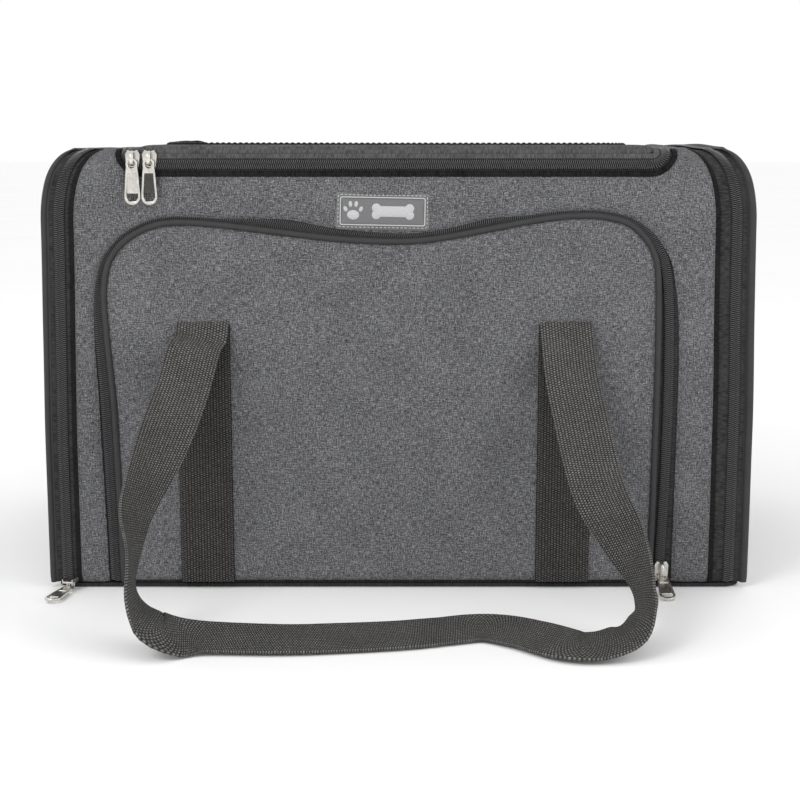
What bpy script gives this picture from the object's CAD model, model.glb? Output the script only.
import math

import bmesh
import bpy
import numpy as np
from mathutils import Matrix, Vector
from mathutils.geometry import delaunay_2d_cdt


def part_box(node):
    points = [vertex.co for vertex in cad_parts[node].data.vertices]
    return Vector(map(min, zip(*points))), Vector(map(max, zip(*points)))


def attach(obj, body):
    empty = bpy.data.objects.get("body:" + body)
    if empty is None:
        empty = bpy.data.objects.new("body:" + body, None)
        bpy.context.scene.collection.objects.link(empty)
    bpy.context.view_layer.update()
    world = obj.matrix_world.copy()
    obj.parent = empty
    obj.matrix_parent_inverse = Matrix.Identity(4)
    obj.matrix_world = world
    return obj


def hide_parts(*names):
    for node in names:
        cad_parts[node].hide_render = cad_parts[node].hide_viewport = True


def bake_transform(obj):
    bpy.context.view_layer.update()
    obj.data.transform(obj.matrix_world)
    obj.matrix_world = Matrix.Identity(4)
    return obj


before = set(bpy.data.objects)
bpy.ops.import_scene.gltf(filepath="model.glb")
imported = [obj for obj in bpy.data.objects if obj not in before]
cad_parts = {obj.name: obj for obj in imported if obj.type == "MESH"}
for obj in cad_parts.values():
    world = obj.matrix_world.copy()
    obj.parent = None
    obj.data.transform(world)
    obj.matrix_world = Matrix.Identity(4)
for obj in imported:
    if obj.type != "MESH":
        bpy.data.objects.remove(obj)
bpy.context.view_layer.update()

# --- sizes in metres, from the frame where it has them ---

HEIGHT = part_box("top_door_panel")[1][2]
HALF_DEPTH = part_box("rear_wall")[1][1]
DEPTH = 2 * HALF_DEPTH
OVER = 2 * HEIGHT + DEPTH  # the pattern's whole run: up the front, over the top, down the rear
MID_RADIUS, END_RADIUS = 0.008, 0.020  # how round the long top edges are, mid bag and at its ends
LEAN, LEAN_START = 0.020, 0.238  # how far the ends lean in at the top, and from which height
SIDE_LEAN = 0.0025
WALL_BULGE, END_BULGE = 0.003, 0.005
FOOT, FOOT_TUCK = 0.003, 0.0035  # the cloth's lower edge: its height, and how far it tucks under
FABRIC, SCREEN = 0.0028, 0.0005  # how thick padded cloth and mesh are
LAP = 0.004  # how far a screen reaches behind the edge of its window

# The bands at the two ends, as distances from the middle of the bag
BANDS = {
    -1: {"wall": 0.2096, "coil": 0.2171, "tape": 0.2252, "piping": 0.2268, "radius": 0.0019},
    1: {"wall": 0.2040, "coil": 0.2158, "tape": 0.2238, "piping": 0.2258, "radius": 0.0025},
}

DOOR_LEFT, DOOR_RIGHT = -0.1722, 0.1685
DOOR_SEAM = 0.2745  # how far up the pattern the top zip runs
DOOR_CORNER = 0.009
DOOR_FOOT = 0.0072  # width of the tape below the coil
DOOR_REAR = HEIGHT + DEPTH - 0.004
DOOR_WINDOW = (-0.147, 0.143, HEIGHT + HALF_DEPTH - 0.112, HEIGHT + HALF_DEPTH + 0.112, 0.022)
END_WINDOW = (-0.098, 0.098, 0.052, 0.226, 0.022)  # low and high y, low and high z, corner radius

STRIPS = (-0.1247, 0.1061)  # the middles of the front's two sewn strips
STRIP_HALF, STRIP_TOP = 0.01725, 0.1735
STRAP_HALF, STRAP_THICKNESS = 0.01675, 0.0017

PITCH = 0.0013  # from one tooth of a coil to the next
TOOTH_REACH = 0.0036
TOOTH = np.array([  # TOOTH_REACHes out from the zip's middle, pitches along it, height over the tape
    (1.00, 0.40, -0.0001),
    (0.80, 0.24, 0.0008),
    (0.30, -0.08, 0.0012),
    (-0.14, -0.40, 0.0008),
])
TOOTH_WEAR = (0, 0, 0, 0, 0, 0.9, 0, 0, 0, 1, 0, 0, 0, 0.2, 0, 0)  # how bright each point is worn
DIAMOND = np.array([(1.0, 0.0), (0.0, 1.0), (-1.0, 0.0), (0.0, -1.0)])  # section of a thin thread


def smoothstep(low, high, value):
    share = np.clip((np.asarray(value, float) - low) / (high - low), 0, 1)
    return share * share * (3 - 2 * share)


def mix(a, b, share):
    return a + (b - a) * share


def arrays(*values):
    """The values as arrays of one shape."""
    return np.broadcast_arrays(*(np.asarray(value, float) for value in values))


# --- the bag's shape ---

def pattern(x, t, d=0.0):
    """The flat pattern laid on a box with round top edges: x across, t up the front, over the top
    and down the rear, d outwards."""
    x, t, d = arrays(x, t, d)
    rear = t > OVER / 2
    run = np.where(rear, OVER - t, t)
    radius = mix(MID_RADIUS, END_RADIUS, smoothstep(0.178, 0.205, np.abs(x)))
    turn = np.clip((run - HEIGHT + radius) / (2 * radius), 0, 1) * math.pi / 2
    y = np.maximum(run - HEIGHT, radius) - radius * np.cos(turn) - HALF_DEPTH
    z = np.minimum(run, HEIGHT - radius) + radius * np.sin(turn)
    foot = np.clip(1 - run / 0.009, 0, 1) ** 2 * FOOT_TUCK
    y = y - d * np.cos(turn) + foot
    z = z + d * np.sin(turn)
    return np.stack([x, np.where(rear, -y, y), z], axis=-1)


def dome(x):
    """How far the soft top rises mid way between front and rear."""
    return np.interp(
        x,
        [-0.22, -0.17, -0.14, -0.10, -0.02, 0.06, 0.15, 0.172, 0.19, 0.22],
        [0.0005, 0.001, 0.0030, 0.0025, 0.0008, 0.0004, 0.0003, 0.0008, 0.0028, 0.0030],
    )


def settle(points):
    """How the soft bag sits: its ends lean in at the top, its walls bulge and its top domes."""
    points = np.array(points, float)
    x, y, z = points[..., 0].copy(), points[..., 1].copy(), points[..., 2].copy()
    side, reach = np.sign(x), np.abs(x)
    share = np.clip((z - LEAN_START) / (HEIGHT - LEAN_START), 0, 1)
    lean = LEAN * (1 - np.sqrt(1 - 0.98 * share**2)) * smoothstep(0.178, 0.207, reach)
    lean += SIDE_LEAN * smoothstep(0.10, 0.25, z) * smoothstep(0.12, 0.21, reach)
    across = np.cos(math.pi * np.clip(y / DEPTH, -0.5, 0.5)) ** 2
    up = np.sin(math.pi * np.clip(z / HEIGHT, 0, 1))
    lean -= END_BULGE * across * up * smoothstep(0.2205, 0.2230, reach)
    points[..., 0] = x - side * lean
    middle = np.cos(math.pi * np.clip(x / 0.43, -0.5, 0.5)) ** 2
    ripple = np.sin(31 * x + 2.1) * np.sin(27 * z + 0.7) + 0.6 * np.sin(58 * x - 19 * z + 1.3)
    ripple += 0.4 * np.sin(23 * x + 71 * z)
    wall = smoothstep(0.115, 0.1365, np.abs(y)) * up
    points[..., 1] = y + np.sign(y) * wall * (WALL_BULGE * middle + 0.0007 * ripple)
    top = smoothstep(HEIGHT - 0.045, HEIGHT, z)
    flutter = 0.0007 * np.sin(43 * x + 0.5) * np.sin(37 * y + 1.1)
    points[..., 2] = z + top * across * (dome(x) + flutter)
    return points


def shell(x, t, d=0.0):
    return settle(pattern(x, t, d))


# --- outlines ---

def smooth(points, spacing):
    """A curve through the points, as evenly spaced points of its own."""
    points = np.array(points, float)
    padded = np.vstack([2 * points[0] - points[1], points, 2 * points[-1] - points[-2]])
    share = np.linspace(0, 1, 24, endpoint=False)[:, None]
    parts = []
    for p0, p1, p2, p3 in zip(padded, padded[1:], padded[2:], padded[3:]):
        bend = 2 * p0 - 5 * p1 + 4 * p2 - p3
        twist = 3 * p1 - p0 - 3 * p2 + p3
        parts.append((2 * p1 + (p2 - p0) * share + bend * share**2 + twist * share**3) / 2)
    return evenly(np.vstack([*parts, points[-1:]]), spacing)


def sample(values, run, at):
    """The values, given along run, at other distances along it."""
    return np.stack([np.interp(at, run, column) for column in values.T], axis=-1)


def evenly(points, spacing):
    points = np.asarray(points, float)
    run = lengths(points)
    count = max(int(round(run[-1] / spacing)), 2)
    return sample(points, run, np.linspace(0, run[-1], count + 1))


def lengths(points):
    steps = np.linalg.norm(np.diff(points, axis=0), axis=1)
    return np.concatenate([[0], np.cumsum(steps)])


def arc(centre, radius, start, end, steps=8):
    turn = np.radians(np.linspace(start, end, steps + 1))
    return np.stack([centre[0] + radius * np.cos(turn), centre[1] + radius * np.sin(turn)], axis=1)


def rounded(low_a, high_a, low_b, high_b, radius, steps=8):
    left, right, low, high = low_a + radius, high_a - radius, low_b + radius, high_b - radius
    return np.vstack([
        arc((left, low), radius, 180, 270, steps),
        arc((right, low), radius, 270, 360, steps),
        arc((right, high), radius, 0, 90, steps),
        arc((left, high), radius, 90, 180, steps),
    ])


def looped(outline):
    """A closed outline with its first point again at the end."""
    return np.vstack([outline, outline[:1]])


def line(start, end, spacing=0.004):
    return evenly([start, end], spacing)


def up_and_over(x, foot, spacing=0.004):
    """A line from the front foot, over the top, to the rear foot."""
    return line((x, foot), (x, OVER - foot), spacing)


def normals(route, closed=False):
    """Unit normals of a 2D route, to the left of its direction."""
    if closed:
        along = np.roll(route, -1, axis=0) - np.roll(route, 1, axis=0)
    else:
        along = np.gradient(route, axis=0)
    along /= np.linalg.norm(along, axis=1, keepdims=True)
    return np.stack([-along[:, 1], along[:, 0]], axis=1)


def offset(route, distance, closed=False):
    return route + normals(route, closed) * np.asarray(distance)[..., None]


def inside(points, outline):
    """Which 2D points lie inside a closed outline."""
    x, y = points[:, 0, None], points[:, 1, None]
    ax, ay = outline[:, 0], outline[:, 1]
    bx, by = np.roll(ax, -1), np.roll(ay, -1)
    crosses = (ay > y) != (by > y)
    with np.errstate(divide="ignore", invalid="ignore"):
        at = (bx - ax) * (y - ay) / (by - ay) + ax
    return (crosses & (x < at)).sum(axis=1) % 2 == 1


def within(points, loops):
    """Which 2D points lie inside the first outline and outside the others."""
    found = inside(points, loops[0])
    for hole in loops[1:]:
        found &= ~inside(points, hole)
    return found


def edge_distance(points, outlines):
    """How far each 2D point is from the nearest outline."""
    nearest = np.full(len(points), np.inf)
    for outline in outlines:
        start, end = outline, np.roll(outline, -1, axis=0)
        way = end - start
        size = np.maximum((way**2).sum(axis=1), 1e-12)
        for first in range(0, len(points), 2000):
            part = points[first : first + 2000, None]
            share = np.clip(((part - start) * way).sum(axis=2) / size, 0, 1)
            gap = np.linalg.norm(part - start - way * share[..., None], axis=2).min(axis=1)
            nearest[first : first + 2000] = np.minimum(nearest[first : first + 2000], gap)
    return nearest


def fill_points(loops, spacing):
    """Points for the inside of a panel: an even grid, and rows that follow its edges closely."""
    low, high = loops[0].min(axis=0), loops[0].max(axis=0)
    sides = [np.linspace(a, b, max(int((b - a) / spacing), 2) + 1) for a, b in zip(low, high)]
    grid = np.stack(np.meshgrid(*sides), axis=-1).reshape(-1, 2)
    grid = grid[within(grid, loops)]
    fill = [grid[edge_distance(grid, loops) > 0.0042]]
    for inset in (0.0012, 0.0030):
        ring = np.vstack([offset(loop, sign * inset, True) for loop in loops for sign in (1, -1)])
        ring = ring[within(ring, loops)]
        fill.append(ring[edge_distance(ring, loops) > 0.9 * inset])
    return fill


def triangulate(loops, fill=()):
    """Triangles over an outline less its holes: their points, and faces that turn the same way."""
    edges, first = [], 0
    for loop in loops:
        size = len(loop)
        edges += [(first + i, first + (i + 1) % size) for i in range(size)]
        first += size
    points = [Vector(point) for point in np.vstack([*loops, *fill])]
    verts, _, faces, _, _, _ = delaunay_2d_cdt(points, edges, [], 0, 1e-7)
    flat = np.array([tuple(vert) for vert in verts])
    faces = np.array([face for face in faces if len(face) == 3])
    faces = faces[within(flat[faces].mean(axis=1), loops)]
    used, faces = np.unique(faces, return_inverse=True)
    flat, faces = flat[used], faces.reshape(-1, 3)
    corner = flat[faces]
    way_a, way_b = corner[:, 1] - corner[:, 0], corner[:, 2] - corner[:, 0]
    turned = way_a[:, 0] * way_b[:, 1] - way_a[:, 1] * way_b[:, 0] < 0
    faces[turned] = faces[turned][:, ::-1]
    return flat, faces


# --- profiles and faces ---

def strip_profile(low_a, high_a, low_d, high_d, columns=4, side=1):
    """A flat band: its top from high_a back to low_a, with eased edges. Side -1 mirrors it."""
    ease = min(0.0004, (high_a - low_a) / 6)
    shoulder = mix(low_d, high_d, 0.6)
    top = [(a, high_d) for a in np.linspace(high_a - ease, low_a + ease, columns)]
    edges = [(low_a, shoulder), (low_a, low_d), (high_a, low_d), (high_a, shoulder)]
    return np.array(top + edges) * (side, 1)


def round_profile(middle_a, middle_d, radius, sides):
    turn = np.linspace(0, math.tau, sides, endpoint=False)
    return np.stack([middle_a + radius * np.cos(turn), middle_d + radius * np.sin(turn)], axis=1)


def tube_faces(rows, columns):
    """Quads over rings of points."""
    row, column = np.meshgrid(np.arange(rows - 1), np.arange(columns), indexing="ij")
    after = (column + 1) % columns
    quads = [row * columns + column, row * columns + after, (row + 1) * columns + after,
             (row + 1) * columns + column]
    return np.stack(quads, axis=-1).reshape(-1, 4)


def thread_faces(count):
    """Faces of count little tubes, each four rings of four points and closed at both ends."""
    tube = np.vstack([tube_faces(4, 4), [[0, 3, 2, 1], [12, 13, 14, 15]]])
    return (tube + 16 * np.arange(count)[:, None, None]).reshape(-1, 4)


# --- meshes ---

def make_object(name, points, faces, looks, cloth=None, face_looks=None):
    """A mesh object, smooth but for its sharp edges if it has cloth coordinates."""
    mesh = bpy.data.meshes.new(name)
    mesh.from_pydata(np.asarray(points).tolist(), [], [list(face) for face in faces])
    for look in looks:
        mesh.materials.append(look)
    if cloth is not None:
        mesh.polygons.foreach_set("material_index", np.asarray(face_looks, np.int32))
        layer = mesh.attributes.new("cloth", "FLOAT_VECTOR", "POINT")
        layer.data.foreach_set("vector", np.asarray(cloth, np.float32).ravel())
        mesh.shade_smooth()
        mesh.set_sharp_from_angle(angle=math.radians(50))
    obj = bpy.data.objects.new(name, mesh)
    bpy.context.scene.collection.objects.link(obj)
    return obj


def close_up(obj):
    """Turns every face of a closed piece outwards."""
    bm = bmesh.new()
    bm.from_mesh(obj.data)
    bmesh.ops.recalc_face_normals(bm, faces=bm.faces)
    bm.to_mesh(obj.data)
    bm.free()
    return obj


def stand_for(obj, slot, *nodes):
    if nodes:
        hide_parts(*nodes)
    return obj


class Parts:
    """Gathers the points and faces of one piece, with a material index for each face. Flat work
    is put in space by place(x, t, d). Every point keeps cloth coordinates for the materials."""

    def __init__(self, place=shell):
        self.place = place
        self.points, self.faces, self.cloth, self.looks = [], [], [], []
        self.count = 0

    def add(self, points, faces, cloth, look=0):
        points = np.asarray(points, float).reshape(-1, 3)
        faces = np.asarray(faces, int) + self.count
        self.points.append(points)
        self.cloth.append(np.asarray(cloth, float).reshape(-1, 3))
        self.count += len(points)
        return self.add_faces(faces.tolist(), look)

    def add_faces(self, faces, look):
        """Faces over points that are already there."""
        self.faces.extend(faces)
        self.looks.extend([look] * len(faces))
        return self

    def tube(self, points, cloth, look=0, capped=True):
        """Rings of points joined into a tube, with a fan of triangles over each end."""
        rows, columns = points.shape[:2]
        self.add(points, tube_faces(rows, columns), cloth, look)
        fan = np.array([(0, i, i + 1) for i in range(1, columns - 1)])
        if capped:
            self.add(points[0], columns - 1 - fan, cloth[0], look)
            self.add(points[-1], fan, cloth[-1], look)
        return self

    def sweep(self, route, profile, look=0, closed=False):
        """A closed profile of (a, d) points carried along a 2D route, with a to its left."""
        if closed:
            route = looped(route)
        side = normals(route)
        if closed:
            side[0] = side[-1] = normals(route[:-1], True)[0]
        a, d = profile.T
        flat = route[:, None] + side[:, None] * a[:, None]
        shape = flat.shape[:2]
        points = self.place(flat[..., 0], flat[..., 1], np.broadcast_to(d, shape))
        run = np.broadcast_to(lengths(route)[:, None], shape)
        cloth = np.stack([run, np.broadcast_to(a, shape), np.zeros(shape)], axis=-1)
        return self.tube(points, cloth, look, not closed)

    def solid(self, front, back, faces, cloth, looks):
        """A front and a back with the same triangles, and a rim between them."""
        first, count = self.count, len(front)
        self.add(front, faces, cloth, looks[0])
        self.add(back, faces[:, ::-1], cloth, looks[1])
        ends = np.concatenate([faces[:, [0, 1]], faces[:, [1, 2]], faces[:, [2, 0]]])
        inner = np.isin(ends[:, 0] * count + ends[:, 1], ends[:, 1] * count + ends[:, 0])
        rim = first + ends[~inner]
        return self.add_faces(np.column_stack([rim[:, ::-1], rim + count]).tolist(), looks[0])

    def panel(self, outline, holes=(), spacing=0.005, thickness=FABRIC, lift=0.0, crown=0.0,
              reach=0.006, looks=(0, 0)):
        """Cloth cut to an outline with holes, padded by crown away from its edges."""
        loops = [outline, *holes]
        flat, faces = triangulate(loops, fill_points(loops, spacing))
        gap = edge_distance(flat, loops)
        swell = lift + crown * (1 - np.exp(-gap / reach)) - 0.0008 * np.exp(-gap / 0.0007)
        front = self.place(*flat.T, swell)
        back = self.place(*flat.T, np.full(len(flat), lift - thickness))
        return self.solid(front, back, faces, np.column_stack([flat, 0 * gap]), looks)

    def ruled(self, left, right, low_d, high_d):
        """A thin band between two 2D lines with as many points each."""
        corners = [(left, high_d), (right, high_d), (right, low_d), (left, low_d)]
        points = np.stack([self.place(*side.T, d) for side, d in corners], axis=1)
        cloth = np.zeros(points.shape)
        cloth[..., 0] = lengths(left)[:, None]
        cloth[:, 1:3, 1] = np.linalg.norm(right - left, axis=1)[:, None]
        first, last = self.count, self.count + 4 * len(left)
        self.tube(points, cloth, capped=False)
        return self.add_faces([[*range(first, first + 4)], [*range(last - 4, last)][::-1]], 0)

    def teeth(self, route, side, lift, shift=0.0):
        """One half of a zip's coil along a 2D route, on its left (side 1) or right (side -1)."""
        run = lengths(route)
        at = np.arange(PITCH * (0.5 + shift), run[-1] - PITCH / 2, PITCH)
        where, out = sample(route, run, at), sample(normals(route), run, at)
        out /= np.linalg.norm(out, axis=1, keepdims=True)
        along = np.stack([out[:, 1], -out[:, 0]], axis=1)
        ring = DIAMOND * (0.333 * PITCH, 0.00055)
        a = np.repeat(side * TOOTH_REACH * TOOTH[:, :1], 4, axis=1)
        s = TOOTH[:, 1:2] * PITCH + ring[:, 0]
        d = TOOTH[:, 2:] + ring[:, 1] + lift
        flat = where[:, None, None] + out[:, None, None] * a[..., None]
        flat = flat + along[:, None, None] * s[..., None]
        points = self.place(flat[..., 0], flat[..., 1], np.broadcast_to(d, flat.shape[:3]))
        cloth = np.zeros(points.shape)
        cloth[..., 0] = at[:, None, None]
        cloth[..., 2] = np.reshape(TOOTH_WEAR, (4, 4))
        return self.add(points, thread_faces(len(at)), cloth, 1)

    def stitch(self, route, d, look=0, length=0.0026, gap=0.0011):
        """A row of stitches along a 2D route: short threads whose ends dip into the cloth."""
        run = lengths(route)
        at = np.arange(gap, run[-1] - length, length + gap)
        where = at[:, None] + length * np.array([0.0, 0.25, 0.75, 1.0])
        centre, out = sample(route, run, where), sample(normals(route), run, where)
        ring = DIAMOND * 0.00028
        flat = centre[:, :, None] + out[:, :, None] * ring[:, :1]
        dips = np.array([-0.0004, 0.0001, 0.0001, -0.0004])
        height = np.broadcast_to(d + dips[:, None] + ring[:, 1], flat.shape[:3])
        points = self.place(flat[..., 0], flat[..., 1], height)
        cloth = np.zeros(points.shape)
        cloth[..., 0] = at[:, None, None]
        return self.add(points, thread_faces(len(at)), cloth, look)

    def plate(self, outline, holes, low, high, look=0):
        """A flat casting in a slider's own frame: outline in (x, z), from low to high along y."""
        flat, faces = triangulate([outline, *holes])
        x, z = flat.T
        sides = [np.stack([x, np.full(len(x), y), z], axis=-1) for y in (low, high)]
        return self.solid(*sides, faces, np.zeros((len(x), 3)), (look, look))

    def make(self, name, looks):
        points, cloth = np.vstack(self.points), np.vstack(self.cloth)
        return close_up(make_object(name, points, self.faces, looks, cloth, self.looks))

    def on(self, body, slot, name, looks, *nodes):
        """Makes the piece and lets it ride on one body."""
        obj = self.make(name, looks)
        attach(obj, body)
        return stand_for(obj, slot, *nodes)

    def across(self, body_a, body_b, start, end, slot, name, looks, *nodes):
        """Makes the piece and bends it between two bodies, from start to end."""
        obj = self.make(name, looks)
        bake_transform(obj)
        return stand_for(obj, slot, *nodes)


# --- materials ---

class Look:
    """A material, with short ways to add nodes to it."""

    def __init__(self, name, roughness, metallic=0.0, specular=0.5):
        self.material = bpy.data.materials.new(name)
        self.material.use_nodes = True
        self.tree = self.material.node_tree
        self.shader = self.tree.nodes["Principled BSDF"]
        self.shader.inputs["Roughness"].default_value = roughness
        self.shader.inputs["Metallic"].default_value = metallic
        self.shader.inputs["Specular IOR Level"].default_value = specular

    def node(self, kind, inputs=None, output=0, **settings):
        made = self.tree.nodes.new("ShaderNode" + kind)
        for name, value in settings.items():
            setattr(made, name, value)
        for name, value in (inputs or {}).items():
            self.put(made.inputs[name], value)
        return made.outputs[output]

    def put(self, socket, value):
        if isinstance(value, bpy.types.NodeSocket):
            self.tree.links.new(value, socket)
        else:
            socket.default_value = value

    def math(self, operation, a, b=0.0, c=0.0):
        return self.node("Math", {0: a, 1: b, 2: c}, operation=operation)

    def total(self, *shares):
        """The sum of the values, each with its weight."""
        added = 0.0
        for value, weight in shares:
            added = self.math("MULTIPLY_ADD", value, weight, added)
        return added

    def cloth(self, *scale):
        place = self.node("Attribute", attribute_name="cloth", output=1)
        return self.node("Mapping", {0: place, 3: scale})

    def noise(self, vector, detail, scale=1.0):
        return self.node("TexNoise", {"Vector": vector, "Scale": scale, "Detail": detail})

    def ramp(self, value, stops):
        socket = self.node("ValToRGB", {0: value})
        colours = socket.node.color_ramp.elements
        while len(colours) < len(stops):
            colours.new(0.5)
        for element, (place, colour) in zip(colours, stops):
            element.position = place
            element.color = (*colour, 1)
        return socket

    def blend(self, share, a, b):
        return self.node("MixRGB", {0: share, 1: a, 2: b})

    def weave(self, count):
        """Threads crossing picks."""
        threads, picks = (
            self.node("TexWave", {"Vector": self.cloth(*scale), "Scale": count}, output=1,
                      bands_direction=way)
            for scale, way in (((1, 0, 0), "X"), ((0, 1, 0), "Y")))
        return self.math("MULTIPLY", threads, picks)

    def colour(self, value):
        self.put(self.shader.inputs["Base Color"], value)

    def bump(self, height, strength, distance):
        normal = self.node("Bump", {"Height": height, "Strength": strength, "Distance": distance})
        self.put(self.shader.inputs["Normal"], normal)


BLUE = (1.0, 1.0, 1.045)  # tint of the grey cloth
CLOTH_SPECULAR = 0.12


def grey(level, tint=(1.0, 1.0, 1.02)):
    return tuple(level * part for part in tint)


def heather():
    """Melange polyester: dark and light yarns crossing, with slubs along both."""
    look = Look("heather_fabric", 0.92, specular=CLOTH_SPECULAR)
    warp = look.noise(look.cloth(1500, 260, 1), 2.0)
    weft = look.noise(look.cloth(260, 1500, 1), 2.0)
    fleck = look.noise(look.cloth(1300, 1300, 1), 1.0)
    cloud = look.noise(look.cloth(38, 38, 1), 3.0)
    both = look.total((warp, 0.28), (weft, 0.28), (fleck, 0.38), (cloud, 0.06))
    look.colour(look.ramp(both, [(0.38, grey(0.028, BLUE)), (0.47, grey(0.086, BLUE)),
                                 (0.53, grey(0.148, BLUE)), (0.62, grey(0.285, BLUE))]))
    look.bump(look.total((look.weave(640.0), 1.0), (both, 3.0)), 0.5, 0.00025)
    return look.material


def plain_woven(name, level, roughness=0.85, spread=0.45, count=520.0):
    """Black or dark cloth with a fine even weave and a little wear."""
    look = Look(name, roughness, specular=CLOTH_SPECULAR)
    warp = look.noise(look.cloth(900, 260, 1), 1.0)
    cloud = look.noise(look.cloth(60, 60, 1), 3.0)
    both = look.total((warp, 0.7), (cloud, 0.3))
    look.colour(look.ramp(both, [(0.35, grey(level * (1 - spread))), (0.65, grey(level * (1 + spread)))]))
    look.bump(look.math("ADD", look.weave(count), both), 0.5, 0.0002)
    return look.material


def bias_cloth(name, level):
    """Piping cover, cut on the bias so that its twill runs round it at a slant."""
    look = Look(name, 0.6, specular=0.25)
    place = look.node("Attribute", attribute_name="cloth", output=1)
    slant = look.node("Mapping", {0: place, 2: (0, 0, math.radians(45))})
    twill = look.node("TexWave", {"Vector": slant, "Scale": 330.0, "Distortion": 0.4}, output=1)
    both = look.total((twill, 0.6), (look.noise(look.cloth(90, 90, 1), 3.0), 0.4))
    look.colour(look.ramp(both, [(0.15, grey(level * 0.55)), (0.85, grey(level * 1.5))]))
    look.bump(twill, 0.7, 0.0003)
    return look.material


def webbing(name, level, tint=(1.0, 0.98, 0.95)):
    """Polypropylene webbing: short bright weft ribs laid across like bricks, with dark gaps."""
    look = Look(name, 0.62, specular=CLOTH_SPECULAR)
    cell = look.cloth(1 / 0.0015, 1 / 0.0019, 0)
    across = look.node("SeparateXYZ", {0: cell}, output=1)
    shift = look.node("CombineXYZ", {0: look.math("MULTIPLY", look.math("FLOOR", across), 0.5)})
    moved = look.node("VectorMath", {0: cell, 1: shift}, operation="ADD")
    place = look.node("VectorMath", {0: moved}, operation="FRACTION")
    shares = (look.node("SeparateXYZ", {0: place}, output=i) for i in (0, 1))
    rib, bow = (look.math("SINE", look.math("MULTIPLY", share, math.pi)) for share in shares)
    weave = look.math("MULTIPLY", rib, look.math("POWER", bow, 0.6))
    fleck = look.noise(look.cloth(560, 620, 1), 2.0)
    cloud = look.noise(look.cloth(50, 50, 1), 3.0)
    both = look.total((weave, 0.62), (fleck, 0.50), (cloud, 0.14))
    look.colour(look.ramp(both, [(0.30, grey(level * 0.10, tint)), (0.62, grey(level * 0.75, tint)),
                                 (0.86, grey(level * 1.7, tint)), (1.0, grey(level * 3.2, tint))]))
    look.bump(weave, 1.0, 0.0006)
    return look.material


def knitted_mesh():
    """Black warp-knitted mesh with rows of open holes."""
    look = Look("knitted_mesh", 0.7, specular=CLOTH_SPECULAR)
    cell = look.cloth(1 / 0.0026, 1 / 0.0030, 0)
    holes = []
    for shift in (0.0, 0.5):
        moved = look.node("VectorMath", {0: cell, 1: (shift, shift, 0)}, operation="ADD")
        part = look.node("VectorMath", {0: moved}, operation="FRACTION")
        centred = look.node("VectorMath", {0: part, 1: (0.5, 0.5, 0)}, operation="SUBTRACT")
        away = look.node("VectorMath", {0: centred}, output=1, operation="LENGTH")
        holes.append(look.math("LESS_THAN", away, 0.28))
    yarn = look.noise(look.cloth(800, 800, 1), 2.0)
    look.colour(look.ramp(yarn, [(0.3, grey(0.02)), (0.7, grey(0.06))]))
    look.put(look.shader.inputs["Alpha"], look.math("SUBTRACT", 1.0, look.math("MAXIMUM", *holes)))
    return look.material


def nylon(name, level):
    """Coil of a zip: dark nylon whose worn crests catch the light."""
    look = Look(name, 0.30)
    wear = look.noise(look.cloth(150, 150, 1), 3.0)
    place = look.node("Attribute", attribute_name="cloth", output=1)
    crest = look.node("SeparateXYZ", {0: place}, output=2)
    body = look.ramp(wear, [(0.3, grey(level * 0.5)), (0.75, grey(level * 1.3))])
    look.colour(look.blend(crest, body, (level * 9, level * 9, level * 9.2, 1)))
    look.put(look.shader.inputs["Roughness"], look.node("MapRange", {0: wear, 3: 0.26, 4: 0.46}))
    return look.material


def nickel(name, level):
    look = Look(name, 0.25, 1.0)
    place = look.node("TexCoord", output=3)
    scratch = look.noise(look.node("Mapping", {0: place, 3: (900, 900, 160)}), 3.0)
    cloud = look.noise(place, 4.0, 220.0)
    look.colour(look.ramp(cloud, [(0.3, grey(level * 0.72, (1.0, 0.97, 0.90))),
                                  (0.6, grey(level, (1.0, 0.97, 0.91)))]))
    look.put(look.shader.inputs["Roughness"], look.node("MapRange", {0: scratch, 3: 0.16, 4: 0.40}))
    look.bump(scratch, 0.15, 0.0002)
    return look.material


def rubber(name, level, roughness=0.55):
    look = Look(name, roughness)
    grain = look.noise(look.cloth(1600, 1600, 1), 2.0)
    look.colour(look.ramp(grain, [(0.3, grey(level * 0.8)), (0.7, grey(level * 1.2))]))
    look.bump(grain, 0.3, 0.0001)
    return look.material


def object_look(name, low, high, roughness, scale, metallic=0.0, strength=0.4, distance=0.0005):
    """A look for pieces without cloth coordinates: grain from the object's own space."""
    look = Look(name, roughness, metallic)
    grain = look.noise(look.node("TexCoord", output=3), 4.0, scale)
    look.colour(look.ramp(grain, [(0.35, low), (0.65, high)]))
    look.bump(grain, strength, distance)
    return look.material


HEATHER = heather()
LINING = plain_woven("lining", 0.055)
BAND = plain_woven("door_band", 0.072, 0.85, 0.4)
BINDING = plain_woven("binding", 0.010, 0.8, 0.6)
TAPE = plain_woven("zip_tape", 0.034, 0.8, 0.5, 380.0)
BASE_CLOTH = plain_woven("base_cloth", 0.030)
PIPING = bias_cloth("piping_cloth", 0.040)
COIL = nylon("zip_coil_nylon", 0.018)
STRAP = webbing("strap_webbing", 0.088)
SEWN = webbing("sewn_webbing", 0.050, (1.0, 0.96, 0.90))
MESH = knitted_mesh()
NICKEL = nickel("nickel_plate", 0.72)
DARK_NICKEL = nickel("dark_nickel_plate", 0.09)
LABEL = rubber("label_rubber", 0.14)
WHITE = rubber("label_white", 0.46, 0.6)
THREAD = object_look("dark_thread", grey(0.030), grey(0.060), 0.7, 3000.0)
GREY_THREAD = object_look("grey_thread", grey(0.10), grey(0.17), 0.8, 3000.0)
FLEECE = object_look("fleece_pile", (0.36, 0.35, 0.33), (0.56, 0.55, 0.52), 1.0, 900.0,
                     strength=0.9, distance=0.002)
BOARD = object_look("board_plastic", grey(0.06), grey(0.09), 0.6, 300.0)
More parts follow.
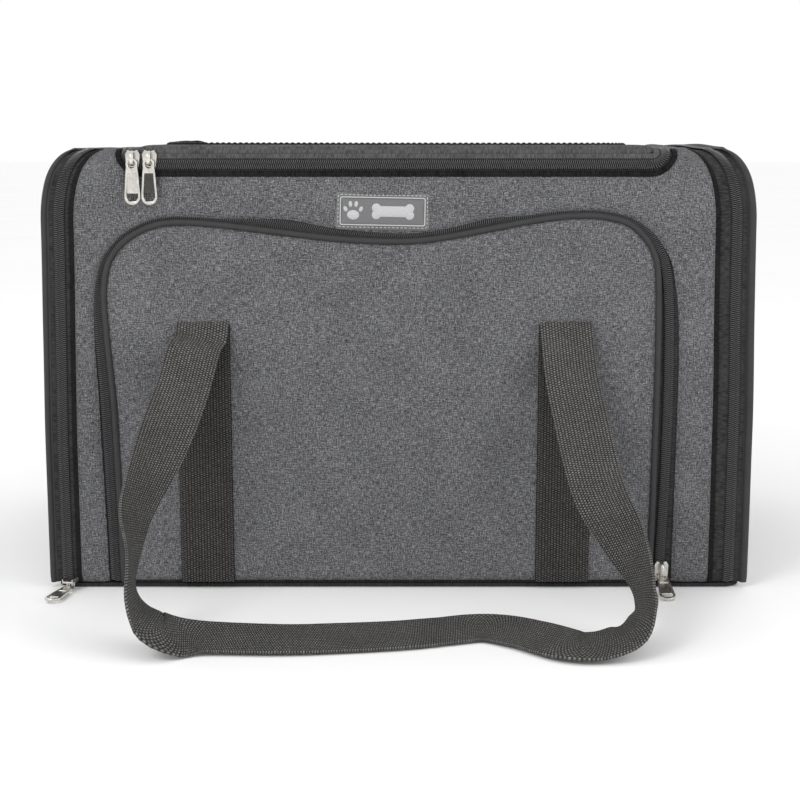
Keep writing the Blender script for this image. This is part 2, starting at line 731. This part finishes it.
WIRE = object_look("wire_steel", grey(0.45), grey(0.6), 0.35, 500.0, 1.0)


# --- shell ---

COVER = smooth([  # the cover's piping: x, height, then how far out the coil and the wall's edge lie
    (-0.1800, 0.004, 0.0055, 0.0100),
    (-0.1812, 0.060, 0.0055, 0.0100),
    (-0.1832, 0.120, 0.0055, 0.0100),
    (-0.1872, 0.165, 0.0050, 0.0085),
    (-0.1890, 0.192, 0.0040, 0.0065),
    (-0.1866, 0.210, 0.0030, 0.0050),
    (-0.1808, 0.2205, 0.0024, 0.0042),
    (-0.1723, 0.2283, 0.0022, 0.0038),
    (-0.1601, 0.2346, 0.0020, 0.0036),
    (-0.1479, 0.2376, 0.0018, 0.0034),
    (-0.1331, 0.2380, 0.0016, 0.0032),
    (-0.1138, 0.2366, 0.0018, 0.0036),
    (-0.0739, 0.2318, 0.0045, 0.0080),
    (-0.0379, 0.2278, 0.0028, 0.0060),
    (0.0006, 0.2262, 0.0018, 0.0048),
    (0.0264, 0.2284, 0.0018, 0.0048),
    (0.0585, 0.2343, 0.0030, 0.0062),
    (0.0797, 0.2384, 0.0012, 0.0036),
    (0.1010, 0.2415, 0.0010, 0.0030),
    (0.1190, 0.2424, 0.0010, 0.0029),
    (0.1331, 0.2410, 0.0012, 0.0031),
    (0.1460, 0.2370, 0.0018, 0.0037),
    (0.1562, 0.2285, 0.0032, 0.0058),
    (0.1627, 0.2173, 0.0046, 0.0082),
    (0.1653, 0.2032, 0.0062, 0.0110),
    (0.1659, 0.168, 0.0075, 0.0138),
    (0.1650, 0.090, 0.0078, 0.0142),
    (0.1637, 0.004, 0.0065, 0.0145),
], 0.003)
COVER_RUN = COVER[:, :2]
COVER_COIL = offset(COVER_RUN, COVER[:, 2])
COVER_OPENING = offset(COVER_RUN, COVER[:, 3])
COVER_LIFT = 0.0012  # how far the cover stands out from the wall


def door_line(left, right, low, corner):
    """Forward along the door's left, along the front, and back along its right."""
    return np.vstack([
        line((left, DOOR_REAR), (left, low + corner)),
        arc((left + corner, low + corner), corner, 180, 270)[1:],
        line((left + corner, low), (right - corner, low))[1:],
        arc((right - corner, low + corner), corner, 270, 360)[1:],
        line((right, low + corner), (right, DOOR_REAR))[1:],
    ])


SEAM = door_line(DOOR_LEFT, DOOR_RIGHT, DOOR_SEAM, DOOR_CORNER)  # the top zip's middle
DOOR_OPENING = offset(SEAM, -DOOR_FOOT)


def make_shell():
    """The padded grey cloth: front wall, the top's two ends and the rear wall, in one piece."""
    left, right = -BANDS[-1]["wall"], BANDS[1]["wall"]
    outline = np.vstack([
        line((left, OVER - FOOT), (left, FOOT)),
        line((left, FOOT), (COVER_OPENING[0, 0], FOOT))[1:-1],
        COVER_OPENING,
        line((COVER_OPENING[-1, 0], FOOT), (right, FOOT))[1:],
        line((right, FOOT), (right, OVER - FOOT))[1:],
        line((right, OVER - FOOT), (left, OVER - FOOT))[1:-1],
    ])
    rear_edge = line(SEAM[-1] + (DOOR_FOOT, 0), SEAM[0] - (DOOR_FOOT, 0))
    cloth = Parts().panel(outline, [np.vstack([DOOR_OPENING, rear_edge[1:-1]])], crown=0.0012, looks=(0, 1))
    cloth.on("carrier", "grey_fabric", "shell_fabric", [HEATHER, LINING],
             "front_wall", "rear_wall", "top_band_left", "top_band_right")
    inset, height = 0.0022, 0.0005
    thread = Parts()
    thread.stitch(offset(COVER_OPENING, inset), height).stitch(offset(DOOR_OPENING, -inset), height)
    for side in (-1, 1):
        thread.stitch(up_and_over(side * (BANDS[side]["wall"] - inset), 0.008), height)
    thread.on("carrier", "grey_fabric", "shell_stitching", [GREY_THREAD])


def make_end_band(side):
    """The zip, tapes, piping and hoop that run up, over and down one end of the bag."""
    name = "left" if side < 0 else "right"
    sizes = BANDS[side]
    coil = up_and_over(side * sizes["coil"], 0.0035, 0.003)
    inner = sizes["coil"] - sizes["wall"] + 0.002
    outer = sizes["tape"] - sizes["coil"]
    start, low, high, tooth_lift = 0.0002, -0.0016, -0.0008, -0.0006
    parts = Parts().sweep(coil, strip_profile(start, inner, low, high, side=side))
    parts.teeth(coil, side, tooth_lift)
    parts.sweep(coil, strip_profile(inner - 0.0034, inner, -0.0010, 0.0006, side=side), 2)
    parts.on("carrier", "zip_coil", f"{name}_zip_inner", [TAPE, COIL, BINDING], f"{name}_end_zip_inner")

    parts = Parts().sweep(coil, strip_profile(start, outer, low, high, side=-side))
    parts.teeth(coil, -side, tooth_lift, 0.5)
    parts.on(f"{name}_end", "zip_coil", f"{name}_zip_outer", [TAPE, COIL], f"{name}_end_zip_outer")

    edge = up_and_over(side * sizes["piping"], 0.0032, 0.003)
    parts = Parts().sweep(edge, round_profile(0.0, -0.0009, sizes["radius"], 14))
    parts.sweep(edge, strip_profile(0.0, 0.0034, -0.0022, -0.0006, side=side))
    parts.on(f"{name}_end", "piping", f"{name}_piping", [PIPING], f"{name}_end_piping")

    hoop = up_and_over(side * 0.2030, 0.0075)
    wire = Parts().sweep(hoop, round_profile(0.0, -0.0068, 0.0015, 10))
    wire.on("carrier", "spring_wire", f"{name}_hoop_wire", [WIRE], f"{name}_hoop")


def make_window(body, place, window, spacing, lift, binding, seam):
    """A stretched screen behind a window, and the binding round it with its row of stitches."""
    screen = Parts(place).panel(offset(window, -LAP, True), spacing=spacing, thickness=SCREEN, lift=lift)
    screen = screen.on(body, "mesh", f"{body}_screen", [MESH], f"{body}_mesh")
    width, height = seam
    parts = Parts(place).sweep(window, strip_profile(*binding), closed=True)
    parts.stitch(offset(looped(window), width), height, 1)
    parts.on(body, "black_fabric", f"{body}_binding", [BINDING, THREAD])
    return screen


def make_end(side):
    """A fold-down end: padded frame, mesh window with its binding, and the cloth of its hinge."""
    name = "left_end" if side < 0 else "right_end"
    reach = BANDS[side]["piping"] - 0.0008

    def face(y, z, d=0.0):
        y, z, d = arrays(y, z, d)
        return settle(np.stack([side * (reach + d), y, z], axis=-1))

    run = up_and_over(side * reach, 0.0055)
    outline = pattern(run[:, 0], run[:, 1], -0.0024)[:, 1:]
    window = rounded(*END_WINDOW)
    frame_cloth = Parts(face).panel(outline, [window], crown=0.0014, looks=(0, 1))
    frame_cloth.on(name, "grey_fabric", f"{name}_frame", [HEATHER, LINING], f"{name}_panel")
    screen = make_window(name, face, window, 0.008, -0.0008,
                         (-0.0070, 0.0022, -0.0004, 0.0016), (-0.0055, 0.0018))

    hinge = line((-0.128, 0.0062), (0.128, 0.0062))
    tape = Parts(face).sweep(hinge, strip_profile(-0.0052, 0.0060, -0.0034, -0.0026))
    x = side * (reach - 0.003)
    tape.across("carrier", name, (x, 0, 0.0020), (x, 0, 0.0100), "black_fabric",
                f"{name}_hinge_tape", [BASE_CLOTH])


def make_top_zip():
    low, high, tooth_lift = -0.0018, -0.0009, -0.0003
    parts = Parts().sweep(SEAM, strip_profile(0.0002, DOOR_FOOT + 0.002, low, high, side=-1))
    parts.teeth(SEAM, -1, tooth_lift)
    parts.sweep(SEAM, strip_profile(0.0046, DOOR_FOOT + 0.0008, -0.0010, 0.0004, side=-1), 2)
    parts.on("carrier", "zip_coil", "top_zip_body_side", [TAPE, COIL, BINDING], "top_zip_lower")

    parts = Parts().sweep(SEAM, strip_profile(0.0002, 0.0036, low, high))
    parts.sweep(SEAM, strip_profile(0.0034, 0.0080, -0.0012, 0.0010), 2)
    parts.teeth(SEAM, 1, tooth_lift, 0.5)
    parts.on("top_door", "zip_coil", "top_zip_door_side", [TAPE, COIL, BAND], "top_zip_upper")


def make_top_door():
    """The door: a dark border round a window of mesh, hinged by cloth along the rear."""
    gap, corner = 0.0074, 0.006
    left, right = DOOR_LEFT + gap, DOOR_RIGHT - gap
    rear_edge = line((right, DOOR_REAR), (left, DOOR_REAR))
    outline = np.vstack([door_line(left, right, DOOR_SEAM + gap, corner), rear_edge[1:-1]])
    window = evenly(looped(rounded(*DOOR_WINDOW)), 0.004)[:-1]
    border = Parts().panel(outline, [window], lift=0.0014, crown=0.0016, reach=0.004, looks=(0, 1))
    border.on("top_door", "grey_fabric", "top_door_border", [BAND, LINING], "top_door_panel")
    screen = make_window("top_door", shell, window, 0.007, 0.0004,
                         (-0.0065, 0.0022, 0.0010, 0.0038), (-0.0050, 0.0040))

    hinge = line((DOOR_LEFT, HEIGHT + DEPTH), (DOOR_RIGHT, HEIGHT + DEPTH))
    tape = Parts().sweep(hinge, strip_profile(-0.0110, 0.0110, -0.0006, 0.0030, 12))
    tape.across("carrier", "top_door", (0, HALF_DEPTH, HEIGHT - 0.0080), (0, HALF_DEPTH - 0.0080, HEIGHT),
                "black_fabric", "top_door_hinge_tape", [BAND])


# --- front cover ---

def make_cover():
    """The drop-down cover with its piping, zip and hinge, and the screen behind it."""
    foot = 0.0050
    run = offset(COVER_RUN, -0.0012)
    run = run[run[:, 1] > foot]
    outline = np.vstack([run, line((run[-1, 0], foot), (run[0, 0], foot))[:-1]])
    parts = Parts().panel(outline, thickness=0.0018, lift=COVER_LIFT, crown=0.0012, looks=(0, 1))
    parts.on("front_cover", "grey_fabric", "cover_fabric", [HEATHER, LINING], "cover_panel")

    parts = Parts().sweep(COVER_RUN, round_profile(0.0, 0.0013, 0.0020, 14))
    parts.on("front_cover", "piping", "cover_piping_cord", [PIPING], "cover_piping")

    low, high, tooth_lift, lap = -0.0028, -0.0019, -0.0016, 0.0002
    inner = np.minimum(COVER[:, 2], 0.004)
    parts = Parts().teeth(COVER_COIL, -1, tooth_lift)
    parts.ruled(offset(COVER_COIL, -lap), offset(COVER_COIL, -inner * 1.6), low, high)
    parts.on("front_cover", "zip_coil", "cover_zip_inner_half", [TAPE, COIL], "cover_zip_inner")

    parts = Parts().teeth(COVER_COIL, 1, tooth_lift, 0.5)
    parts.ruled(offset(COVER_OPENING, 0.003), offset(COVER_COIL, lap), low, high)
    parts.on("carrier", "zip_coil", "cover_zip_outer_half", [TAPE, COIL], "cover_zip_outer")

    hinge = line((-0.176, 0.0062), (0.160, 0.0062))
    parts = Parts().sweep(hinge, strip_profile(-0.0052, 0.0048, -0.0022, -0.0008))
    parts.across("carrier", "front_cover", (0, -HALF_DEPTH, 0.0015), (0, -HALF_DEPTH, 0.0090),
                 "black_fabric", "cover_hinge_tape", [BASE_CLOTH])

    screen = offset(COVER_OPENING, 0.002)
    screen = screen[screen[:, 1] > 0.008]
    screen = np.vstack([screen, line(screen[-1], screen[0], 0.006)[1:-1]])
    parts = Parts().panel(screen, spacing=0.009, thickness=SCREEN, lift=-0.0042)
    front = parts.on("carrier", "mesh", "front_screen", [MESH], "front_mesh")


# --- webbing ---

def make_strips(front):
    """Webbing sewn flat up the cover or the rear wall, with its stitching."""
    name, body = ("front", "front_cover") if front else ("rear", "carrier")
    lift = COVER_LIFT + 0.0012 if front else 0.0012
    thread_lift = lift + 0.0014
    low, high = STRIP_TOP - 0.030, STRIP_TOP - 0.006  # the sewn box below the handle
    seams = (  # inset from the selvedges, height at the left, height at the right
        (0.003, 0.012, 0.012), (0.003, 0.016, 0.016), (0.003, low, low), (0.003, high, high),
        (0.0035, low, high), (0.0035, high, low),
    )

    def spot(x, height):
        return x, height if front else OVER - height

    for middle in STRIPS:
        x = middle if front else -middle
        hand = "left" if x < 0 else "right"
        route = line(spot(x, 0.0045), spot(x, STRIP_TOP))
        strip = Parts().sweep(route, strip_profile(-STRIP_HALF, STRIP_HALF, lift - 0.0004, lift + 0.0013, 10))
        strip.on(body, "webbing", f"{name}_webbing_{hand}", [SEWN], f"{name}_strip_{hand}")
        thread = Parts()
        for edge in (-STRIP_HALF + 0.0022, STRIP_HALF - 0.0022):
            thread.stitch(offset(route, edge), thread_lift)
        for inset, left, right in seams:
            half = STRIP_HALF - inset
            thread.stitch(line(spot(x - half, left), spot(x + half, right)), thread_lift)
        thread.on(body, "webbing", f"{name}_strip_thread_{hand}", [THREAD])


HANDLE = [  # x, y, z, the direction of the width in degrees from +X, and its rise in degrees
    (-0.1247, -0.1428, 0.1660, 0, 0),
    (-0.1247, -0.1432, 0.1722, 0, 0),
    (-0.1247, -0.1446, 0.1748, 0, 0),
    (-0.1248, -0.1466, 0.1730, 0, 0),
    (-0.1256, -0.1508, 0.1650, 0, 0),
    (-0.1290, -0.1600, 0.1582, 4, 0),
    (-0.1351, -0.1735, 0.1344, 10, 0),
    (-0.1464, -0.2010, 0.1010, 42, 0),
    (-0.1535, -0.2190, 0.0817, 60, 0),
    (-0.1565, -0.2310, 0.0688, 72, 0),
    (-0.1563, -0.2420, 0.0560, 86, 0),
    (-0.1545, -0.2560, 0.0408, 97, 2),
    (-0.1502, -0.2650, 0.0287, 96, 10),
    (-0.1431, -0.2700, 0.0191, 93, 18),
    (-0.1333, -0.2725, 0.0123, 90, 20),
    (-0.1140, -0.2614, 0.0063, 90, 13),
    (-0.0676, -0.2614, 0.0050, 90, 10),
    (-0.0357, -0.2579, 0.0045, 90, 10),
    (0.0012, -0.2515, 0.0042, 91, 9),
    (0.0269, -0.2432, 0.0039, 92, 8),
    (0.0512, -0.2376, 0.0042, 92, 8),
    (0.0753, -0.2524, 0.0050, 90, 7),
    (0.0978, -0.2738, 0.0054, 88, 8),
    (0.1156, -0.2756, 0.0060, 87, 9),
    (0.1321, -0.2700, 0.0115, 90, 10),
    (0.1408, -0.2600, 0.0225, 91, 4),
    (0.1425, -0.2535, 0.0300, 97, 0),
    (0.1418, -0.2475, 0.0366, 106, 0),
    (0.1387, -0.2400, 0.0453, 118, 0),
    (0.1315, -0.2270, 0.0593, 134, 0),
    (0.1220, -0.2115, 0.0769, 146, 0),
    (0.1171, -0.1970, 0.0940, 154, 0),
    (0.1119, -0.1765, 0.1218, 170, 0),
    (0.1081, -0.1650, 0.1425, 176, 0),
    (0.1068, -0.1508, 0.1625, 179, 0),
    (0.1061, -0.1466, 0.1725, 180, 0),
    (0.1061, -0.1446, 0.1748, 180, 0),
    (0.1061, -0.1432, 0.1722, 180, 0),
    (0.1061, -0.1428, 0.1660, 180, 0),
]
DEGREE = 0.0003  # what a degree counts for beside metres when the route is smoothed


def strap_frames(route, spacing):
    """Centres, width directions and thickness directions along a strap's route."""
    scaled = np.array(route, float)
    scaled[:, 3:] *= DEGREE
    fine = smooth(scaled, spacing)
    centres, (turn, rise) = fine[:, :3], np.radians(fine[:, 3:].T / DEGREE)
    along = np.gradient(centres, axis=0)
    along /= np.linalg.norm(along, axis=1, keepdims=True)
    across = np.stack([np.cos(turn), np.sin(turn), np.tan(rise)], axis=1)
    across -= along * (across * along).sum(axis=1, keepdims=True)
    across /= np.linalg.norm(across, axis=1, keepdims=True)
    return centres, across, np.cross(along, across)


def make_handle(front):
    """A loop of webbing with soft selvedges, slightly cupped across its width."""
    centres, across, out = strap_frames(HANDLE, 0.003)
    if not front:
        for vectors in (centres, across, out):
            vectors[:, :2] *= -1
    half = STRAP_HALF
    a = np.linspace(-half + 0.0005, half - 0.0005, 9)
    cup = 0.0003 * (a / half) ** 2
    upper = list(zip(a[::-1], STRAP_THICKNESS / 2 + cup[::-1]))
    lower = list(zip(a, -STRAP_THICKNESS / 2 + cup))
    profile = np.array([*upper, (-half, cup[0]), *lower, (half, cup[-1])])
    points = centres[:, None] + across[:, None] * profile[:, :1] + out[:, None] * profile[:, 1:]
    cloth = np.zeros(points.shape)
    cloth[..., 0] = lengths(centres)[:, None]
    cloth[..., 1] = profile[:, 0]
    side, name, body = (-1, "front", "front_cover") if front else (1, "rear", "carrier")
    strap = Parts().tube(points, cloth)
    strap.across(body, f"{name}_handle_loop", (0, side * 0.1434, 0.1700), (0, side * 0.1466, 0.1700),
                 "webbing", f"{name}_strap", [STRAP], f"{name}_handle")


# --- label ---

def make_label():
    """A moulded rubber patch with a paw print and a bone in place of any mark."""
    (x_low, _, z_low), (x_high, _, z_high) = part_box("label_patch")
    middle = np.array([x_low + x_high, z_low + z_high]) / 2
    half = np.array([x_high - x_low, z_high - z_low]) / 2
    tilt = math.radians(-1.1)
    turn = np.array([[math.cos(tilt), -math.sin(tilt)], [math.sin(tilt), math.cos(tilt)]])

    def place(u, v, d=0.0):
        spot = np.stack([u, v], axis=-1) @ turn.T + middle
        return shell(spot[..., 0], spot[..., 1], np.asarray(d) + 0.0004)

    def frame_line(inset, radius):
        u, v = half - inset
        return rounded(-u, u, -v, v, radius, 4)

    def ellipse(u, v, width, height, lean=0.0):
        ring = arc((0, 0), 1.0, 0, 360, 28)[:-1] * (width, height)
        c, s = math.cos(math.radians(lean)), math.sin(math.radians(lean))
        return ring @ np.array([[c, s], [-s, c]]) + (u, v)

    parts = Parts(place)

    def raised(outline, low, high, look):
        parts.panel(outline, spacing=0.003, thickness=high - low, lift=high, looks=(look, look))

    raised(frame_line(0, 0.002), 0.0, 0.0014, 0)
    parts.sweep(frame_line(0.0030, 0.0012), strip_profile(-0.0004, 0.0004, 0.0012, 0.0019), 1, True)
    parts.stitch(evenly(looped(frame_line(0.0016, 0.0014)), 0.001), 0.0017, 1, 0.0016, 0.0010)
    low, high = 0.0010, 0.0021
    paw = -0.0185
    raised(ellipse(paw, -0.0024, 0.0040, 0.0031), low, high, 1)
    for side in (-1, 1):
        for u, v, lean in ((0.0048, 0.0012, -25), (0.0018, 0.0042, -8)):
            raised(ellipse(paw + side * u, v, 0.0013, 0.0019, side * lean), low, high, 1)
    bone, reach, drop, lobe = 0.0065, 0.0105, 0.0021, 0.0030
    lobes = ((1, 1, -44, 152), (-1, 1, 28, 224), (-1, -1, 136, 332), (1, -1, 208, 404))
    raised(np.vstack([arc((bone + u * reach, v * drop), lobe, start, end, 12)
                      for u, v, start, end in lobes]), low, high, 1)
    parts.on("carrier", "rubber_label", "label", [LABEL, WHITE], "label_patch")


# --- zip sliders ---

def cast(parts, name, looks, matrix, edge, body):
    """Makes a casting with softened edges and puts it in its place on a body."""
    obj = parts.make(name, looks)
    obj.matrix_world = matrix
    bevel = obj.modifiers.new("edges", "BEVEL")
    bevel.width = edge
    bevel.segments = 2
    bevel.limit_method = "ANGLE"
    bevel.angle_limit = math.radians(40)
    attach(obj, body)
    return obj


def make_slider(name, matrix, low, high, body):
    """A slider: shaped plate, side flanges over the coil, and the bridge that holds the pull."""
    parts = Parts()
    right = [(0.0036, low), (0.0042, low + 0.0030), (0.0046, high - 0.0026), (0.0030, high),
             (0.0010, high - 0.0008)]
    parts.plate(np.array([(-0.0036, low), *right, *[(-x, z) for x, z in right[:0:-1]]]), [], 0.0032, 0.0044)
    for side in (-1, 1):
        flange = np.array([(0.0036, low), (0.0046, high - 0.0030), (0.0037, high - 0.0030), (0.0029, low)])
        parts.plate(flange * (side, 1), [], 0.0040, 0.0058)
    middle, half = (low + high) / 2 + 0.0002, (high - low) / 2 - 0.0012
    turn = np.linspace(0, math.pi, 15)
    rise = 0.0034 - 0.0052 * np.sin(turn) ** 0.6
    centres = np.stack([0 * turn, rise, middle - half * np.cos(turn)], axis=1)
    along = np.gradient(centres, axis=0)
    along /= np.linalg.norm(along, axis=1, keepdims=True)
    out = np.cross(along, (1.0, 0, 0))
    ring = round_profile(0, 0, 1.0, 10) * (0.0013, 0.0006)
    bridge = centres[:, None] + np.array((1, 0, 0)) * ring[:, :1] + out[:, None] * ring[:, 1:]
    first, last = parts.count, parts.count + bridge.size // 3
    parts.tube(bridge, np.zeros(bridge.shape), capped=False)
    parts.add_faces([[*range(first, first + 10)][::-1], [*range(last - 10, last)]], 0)
    return cast(parts, name, [NICKEL], matrix, 0.00025, body)


def keyhole():
    """The outline of a pull: a ring at the top and a flaring body with a round end."""
    top = arc((0, -0.0022), 0.0037, -20, 200, 18)
    left = [(-0.0040, -0.0080), (-0.0045, -0.0150), (-0.0050, -0.0210)]
    bottom = arc((0, -0.0225), 0.0050, 188, 352, 14)
    return np.vstack([top, left, bottom, [(-x, z) for x, z in left[::-1]]])


def make_pull(name, matrix, swing, body, panel_look):
    """A pull: a keyhole plate with a ring, a window below it and a thin panel in the window."""
    hole = arc((0, -0.0024), 0.0024, 0, 360, 18)[:-1]
    window = np.array([(-0.0027, -0.0078), (0.0027, -0.0078), (0.0036, -0.0205), (0.0036, -0.0228),
                       (0.0022, -0.0252), (-0.0022, -0.0252), (-0.0036, -0.0228), (-0.0036, -0.0205)])
    panel = np.array([(-0.0028, -0.0076), (0.0028, -0.0076), (0.0036, -0.0204), (-0.0036, -0.0204)])
    parts = Parts().plate(keyhole(), [hole, window], -0.0009, 0.0009).plate(panel, [], -0.0002, 0.0004, 1)
    matrix = matrix @ Matrix.Rotation(math.radians(-swing), 4, "X")
    return cast(parts, name, [NICKEL, panel_look], matrix, 0.0003, body)


def make_sliders():
    standoff, top, foot = HALF_DEPTH + 0.0050, 0.2765, 0.0085
    front = ((1, 0, 0), (0, 1, 0), (0, 0, 1))
    rear = ((-1, 0, 0), (0, -1, 0), (0, 0, 1))
    down = ((-0.9770, 0.2130, 0), (0, 0, 1), (0.2130, 0.9770, 0))
    rows = (  # name, pin, directions, reach down and up, rest swing, does it run, panel of its pull
        ("top_right", (-0.1562, -standoff, top), front, -0.0042, 0.0066, 0, True, DARK_NICKEL),
        ("top_left", (-0.1668, -standoff, top), front, -0.0042, 0.0066, 0, False, NICKEL),
        ("cover", (0.1715, -standoff, foot), front, -0.0034, 0.0095, 74, True, NICKEL),
        ("left_corner", (-0.2150, -0.1500, 0.0024), down, -0.0008, 0.0095, 0, False, NICKEL),
        ("left_rear", (-0.2170, standoff, foot), rear, -0.0030, 0.0095, 74, True, NICKEL),
        ("right_rear", (0.2170, standoff, foot), rear, -0.0030, 0.0095, 74, True, NICKEL),
    )
    for name, pin, directions, low, high, swing, runs, panel_look in rows:
        matrix = Matrix.Translation(pin) @ Matrix(directions).transposed().to_4x4()
        body = f"{name}_slider_body" if runs else "carrier"
        stand_for(make_slider(f"{name}_slider_body", matrix, low, high, body), "nickel", f"{name}_slider")
        pull = make_pull(f"{name}_pull_tab", matrix, swing, f"{name}_pull_body", panel_look)
        stand_for(pull, "nickel", f"{name}_pull")


# --- base ---

def make_base():
    """The cloth under the bag, the fleece mat, and the look of the board between them."""
    def flat(x, y, d=0.0):
        return np.stack(arrays(x, y, d), axis=-1)

    (x_low, y_low, _), (x_high, y_high, top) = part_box("base_panel")
    outline = rounded(x_low, x_high, y_low + 0.0015, y_high - 0.0015, 0.012)
    cloth = Parts(flat).panel(outline, spacing=0.012, thickness=top - 0.0002, lift=top)
    cloth.on("carrier", "black_fabric", "base_cloth_panel", [BASE_CLOTH], "base_panel")

    (x_low, y_low, z_low), (x_high, y_high, _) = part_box("fleece_mat")
    tuft, tuft_spacing = 0.0012, 0.066

    def plump(x, y, d=0.0):
        points = flat(x, y, d)
        tufts = tuft * np.cos(x * math.tau / tuft_spacing) * np.cos(y * math.tau / tuft_spacing)
        points[..., 2] = points[..., 2] + tufts * (points[..., 2] > z_low + 0.004)
        return points

    pad = Parts(plump).panel(rounded(x_low, x_high, y_low, y_high, 0.020), spacing=0.007, thickness=0.006,
                             lift=z_low + 0.0062, crown=0.0055, reach=0.012)
    mat = pad.on("carrier", "fleece", "fleece_pad", [FLEECE], "fleece_mat")
    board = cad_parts["base_board"]
    board.data.materials.clear()
    board.data.materials.append(BOARD)


# --- studio ---

def area_light(name, place, size, power):
    """A soft light that looks at the middle of the bag."""
    data = bpy.data.lights.new(name, "AREA")
    data.shape = "RECTANGLE"
    data.size, data.size_y = size
    data.energy = power
    lamp = bpy.data.objects.new(name, data)
    lamp.location = place
    aim = Vector((0, 0, 0.12)) - Vector(place)
    lamp.rotation_euler = aim.to_track_quat("-Z", "Y").to_euler()
    bpy.context.scene.collection.objects.link(lamp)


def make_studio():
    """White surroundings, a pale floor, two soft lights and the camera."""
    world = bpy.data.worlds.new("studio")
    world.use_nodes = True
    background = world.node_tree.nodes["Background"]
    background.inputs[0].default_value = (1, 1, 1, 1)
    background.inputs[1].default_value = 1.0
    bpy.context.scene.world = world
    bpy.context.scene.view_settings.view_transform = "Standard"

    floor = object_look("studio_floor", (0.95, 0.95, 0.95), (0.97, 0.97, 0.97), 0.9, 2.0, strength=0.0)
    ring = arc((0, 0), 60.0, 0, 360, 64)[:-1]
    corners = np.column_stack([ring, np.full(len(ring), -0.0003)])
    make_object("floor", corners, [range(len(ring))], [floor])
    area_light("key", (-0.9, -1.3, 1.3), (0.6, 0.6), 9.0)
    area_light("fill", (1.2, -0.9, 0.8), (0.7, 0.9), 4.0)

    data = bpy.data.cameras.new("camera")
    data.lens = 67.4
    camera = bpy.data.objects.new("camera", data)
    camera.location = (0.0006, -1.09, 0.28)
    aim = Vector((0.0006, -HALF_DEPTH, 0.1245)) - camera.location
    camera.rotation_euler = aim.to_track_quat("-Z", "Y").to_euler()
    bpy.context.scene.collection.objects.link(camera)
    bpy.context.scene.camera = camera


make_studio()
make_shell()
for end_side in (-1, 1):
    make_end_band(end_side)
    make_end(end_side)
make_top_zip()
make_top_door()
make_cover()
for is_front in (True, False):
    make_strips(is_front)
    make_handle(is_front)
make_label()
make_sliders()
make_base()
